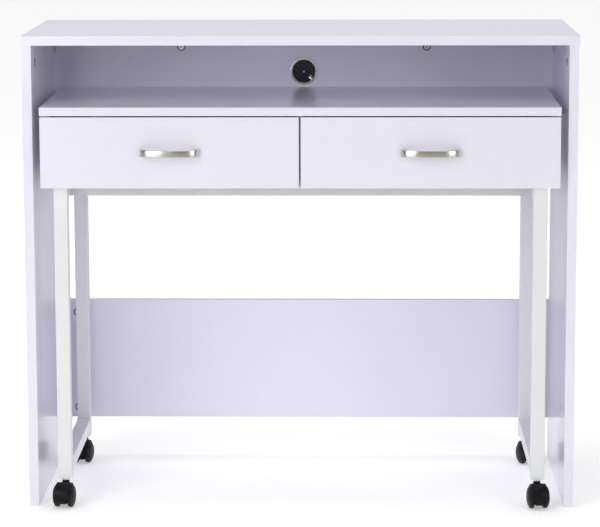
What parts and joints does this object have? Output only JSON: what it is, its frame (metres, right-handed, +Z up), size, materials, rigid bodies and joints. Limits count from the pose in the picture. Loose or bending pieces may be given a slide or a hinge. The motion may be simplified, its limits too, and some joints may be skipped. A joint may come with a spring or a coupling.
{
  "type": "extending sewing table",
  "caption": "White board console with a rolling two-drawer desk on steel leg frames and twin-wheel casters nested under its top.",
  "frame": {"origin": "on the floor, at the middle of the closed table's outline seen from above", "axes": "+X to the sitter's right, +Y towards the back, +Z up"},
  "size_m": [1, 0.439, 0.865],
  "materials": {
    "white_board": "satin white melamine foil on particle board",
    "hardboard": "thin hardboard with a white painted face",
    "white_powder_coat": "white powder coat, fine orange peel",
    "white_enamel": "white stoved enamel on pressed sheet steel",
    "brushed_nickel": "satin nickel plate, brushed along the bow",
    "zinc_plate": "bright zinc plate",
    "bright_steel": "bright zinc-plated steel",
    "chrome_ring": "bright plated ring",
    "black_plastic": "moulded black nylon, satin",
    "black_nylon": "moulded black nylon, satin, fine turning lines",
    "white_nylon": "moulded white nylon",
    "white_plastic": "moulded white polypropylene"
  },
  "bodies": {
    "console": {"top_panel": "white_board", "left_side_panel": "white_board", "right_side_panel": "white_board", "upper_back_panel": "white_board", "lower_back_panel": "white_board", "console_cam_fittings": "zinc_plate", "grommet_liner": "chrome_ring"},
    "grommet_cap": {"grommet_cap": "black_plastic"},
    "rolling_desk": {"desktop": "white_board", "carcass_bottom": "white_board", "left_carcass_side": "white_board", "right_carcass_side": "white_board", "centre_divider": "white_board", "carcass_back": "white_board", "carcass_fasteners": "zinc_plate", "left_leg_frame": "white_powder_coat", "right_leg_frame": "white_powder_coat", "front_cross_rail": "white_powder_coat", "rear_cross_rail": "white_powder_coat", "frame_bolts": "zinc_plate", "caster_sockets": "white_plastic", "caster_stems": "bright_steel", "left_bay_runners": "white_enamel", "right_bay_runners": "white_enamel"},
    "left_drawer": {"left_drawer_front": "white_board", "left_drawer_outer_side": "white_board", "left_drawer_inner_side": "white_board", "left_drawer_back": "white_board", "left_drawer_bottom": "hardboard", "left_drawer_fasteners": "zinc_plate", "left_drawer_runners": "white_enamel", "left_handle": "brushed_nickel"},
    "left_bay_rollers": {"left_bay_rollers": "white_nylon"},
    "left_drawer_rollers": {"left_drawer_rollers": "white_nylon"},
    "right_drawer": {"right_drawer_front": "white_board", "right_drawer_outer_side": "white_board", "right_drawer_inner_side": "white_board", "right_drawer_back": "white_board", "right_drawer_bottom": "hardboard", "right_drawer_fasteners": "zinc_plate", "right_drawer_runners": "white_enamel", "right_handle": "brushed_nickel"},
    "right_bay_rollers": {"right_bay_rollers": "white_nylon"},
    "right_drawer_rollers": {"right_drawer_rollers": "white_nylon"},
    "front_left_caster": {"front_left_caster_hood": "black_plastic", "front_left_caster_axle": "bright_steel"},
    "front_left_wheel_a": {"front_left_caster_wheel_a": "black_nylon"},
    "front_left_wheel_b": {"front_left_caster_wheel_b": "black_nylon"},
    "front_right_caster": {"front_right_caster_hood": "black_plastic", "front_right_caster_axle": "bright_steel"},
    "front_right_wheel_a": {"front_right_caster_wheel_a": "black_nylon"},
    "front_right_wheel_b": {"front_right_caster_wheel_b": "black_nylon"},
    "rear_left_caster": {"rear_left_caster_hood": "black_plastic", "rear_left_caster_axle": "bright_steel"},
    "rear_left_wheel_a": {"rear_left_caster_wheel_a": "black_nylon"},
    "rear_left_wheel_b": {"rear_left_caster_wheel_b": "black_nylon"},
    "rear_right_caster": {"rear_right_caster_hood": "black_plastic", "rear_right_caster_axle": "bright_steel"},
    "rear_right_wheel_a": {"rear_right_caster_wheel_a": "black_nylon"},
    "rear_right_wheel_b": {"rear_right_caster_wheel_b": "black_nylon"}
  },
  "joints": [
    {"name": "desk_pull", "type": "slide", "parent": "console", "child": "rolling_desk", "axis": [0, -1, 0], "range_m": [0, 0.4]},
    {"name": "grommet_cap_turn", "type": "hinge", "parent": "console", "child": "grommet_cap", "pos_m": [0, 0.2045, 0.7665], "axis": [0, 1, 0], "continuous": true},
    {"name": "left_drawer_slide", "type": "slide", "parent": "rolling_desk", "child": "left_drawer", "axis": [0, -1, 0], "range_m": [0, 0.25]},
    {"name": "left_bay_roller_spin", "type": "hinge", "parent": "rolling_desk", "child": "left_bay_rollers", "pos_m": [-0.22875, -0.1635, 0.634], "axis": [1, 0, 0], "continuous": true},
    {"name": "left_drawer_roller_spin", "type": "hinge", "parent": "left_drawer", "child": "left_drawer_rollers", "pos_m": [-0.22875, 0.1125, 0.63335], "axis": [1, 0, 0], "continuous": true},
    {"name": "right_drawer_slide", "type": "slide", "parent": "rolling_desk", "child": "right_drawer", "axis": [0, -1, 0], "range_m": [0, 0.25]},
    {"name": "right_bay_roller_spin", "type": "hinge", "parent": "rolling_desk", "child": "right_bay_rollers", "pos_m": [0.22875, -0.1635, 0.634], "axis": [1, 0, 0], "continuous": true},
    {"name": "right_drawer_roller_spin", "type": "hinge", "parent": "right_drawer", "child": "right_drawer_rollers", "pos_m": [0.22875, 0.1125, 0.63335], "axis": [1, 0, 0], "continuous": true},
    {"name": "front_left_swivel", "type": "hinge", "parent": "rolling_desk", "child": "front_left_caster", "pos_m": [-0.433, -0.166, 0.04], "axis": [0, 0, 1], "continuous": true},
    {"name": "front_left_wheel_a_spin", "type": "hinge", "parent": "front_left_caster", "child": "front_left_wheel_a", "pos_m": [-0.43439, -0.18194, 0.021], "axis": [0.9962, -0.0872, 0], "continuous": true},
    {"name": "front_left_wheel_b_spin", "type": "hinge", "parent": "front_left_caster", "child": "front_left_wheel_b", "pos_m": [-0.43439, -0.18194, 0.021], "axis": [0.9962, -0.0872, 0], "continuous": true},
    {"name": "front_right_swivel", "type": "hinge", "parent": "rolling_desk", "child": "front_right_caster", "pos_m": [0.433, -0.166, 0.04], "axis": [0, 0, 1], "continuous": true},
    {"name": "front_right_wheel_a_spin", "type": "hinge", "parent": "front_right_caster", "child": "front_right_wheel_a", "pos_m": [0.43439, -0.18194, 0.021], "axis": [0.9962, 0.0872, 0], "continuous": true},
    {"name": "front_right_wheel_b_spin", "type": "hinge", "parent": "front_right_caster", "child": "front_right_wheel_b", "pos_m": [0.43439, -0.18194, 0.021], "axis": [0.9962, 0.0872, 0], "continuous": true},
    {"name": "rear_left_swivel", "type": "hinge", "parent": "rolling_desk", "child": "rear_left_caster", "pos_m": [-0.433, 0.167, 0.04], "axis": [0, 0, 1], "continuous": true},
    {"name": "rear_left_wheel_a_spin", "type": "hinge", "parent": "rear_left_caster", "child": "rear_left_wheel_a", "pos_m": [-0.43605, 0.15129, 0.021], "axis": [0.9816, -0.1908, 0], "continuous": true},
    {"name": "rear_left_wheel_b_spin", "type": "hinge", "parent": "rear_left_caster", "child": "rear_left_wheel_b", "pos_m": [-0.43605, 0.15129, 0.021], "axis": [0.9816, -0.1908, 0], "continuous": true},
    {"name": "rear_right_swivel", "type": "hinge", "parent": "rolling_desk", "child": "rear_right_caster", "pos_m": [0.433, 0.167, 0.04], "axis": [0, 0, 1], "continuous": true},
    {"name": "rear_right_wheel_a_spin", "type": "hinge", "parent": "rear_right_caster", "child": "rear_right_wheel_a", "pos_m": [0.43794, 0.15178, 0.021], "axis": [0.9511, 0.309, 0], "continuous": true},
    {"name": "rear_right_wheel_b_spin", "type": "hinge", "parent": "rear_right_caster", "child": "rear_right_wheel_b", "pos_m": [0.43794, 0.15178, 0.021], "axis": [0.9511, 0.309, 0], "continuous": true}
  ],
  "couplings": [
    {"joint": "left_bay_roller_spin", "follows": "left_drawer_slide", "rad_per_m": 100},
    {"joint": "left_drawer_roller_spin", "follows": "left_drawer_slide", "rad_per_m": 100},
    {"joint": "right_bay_roller_spin", "follows": "right_drawer_slide", "rad_per_m": 100},
    {"joint": "right_drawer_roller_spin", "follows": "right_drawer_slide", "rad_per_m": 100}
  ]
}
